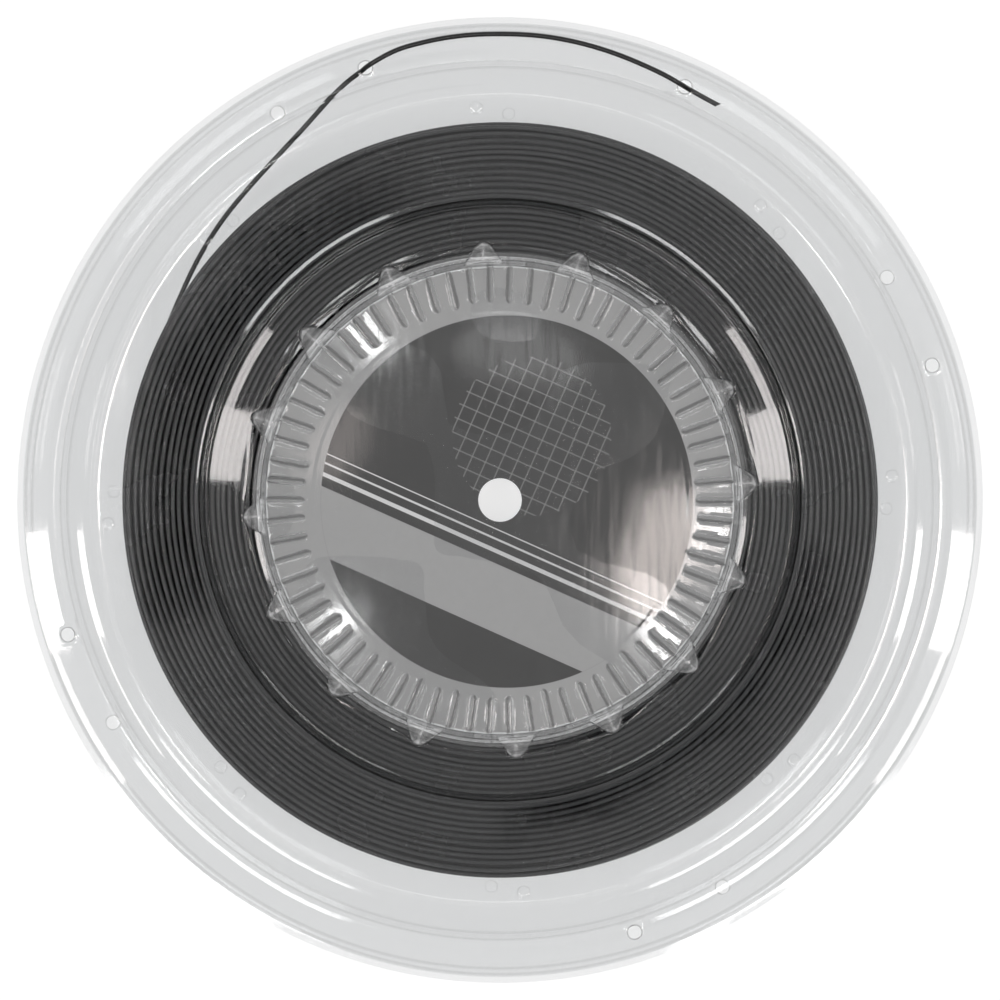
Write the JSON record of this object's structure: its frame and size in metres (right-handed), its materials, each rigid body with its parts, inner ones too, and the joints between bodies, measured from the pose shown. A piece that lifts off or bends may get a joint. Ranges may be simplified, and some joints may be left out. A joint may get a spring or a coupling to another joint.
{
  "type": "string reel",
  "caption": "Clear two-part reel with a shallow ribbed hub cup, wide round-rimmed flanges and a printed card, wound with dark racket string whose end is laced through the rim.",
  "frame": {"origin": "on the reel's axis, in the plane of the rear flange's crest ring, on which the reel lies", "axes": "+Z along the reel's axis towards the front flange, +X to the right and +Y up as the card is seen from the front"},
  "size_m": [0.2412, 0.2412, 0.026],
  "materials": {
    "clear_front": "clear, glossy",
    "clear_rear": "clear, glossy",
    "card": "printed, satin",
    "string": "smooth polyester, semi-gloss"
  },
  "bodies": {
    "root": {"front_flange": "clear_front", "rear_flange": "clear_rear", "label_card": "card", "string_core": "string", "string_turns": "string", "string_tail": "string"}
  },
  "joints": []
}
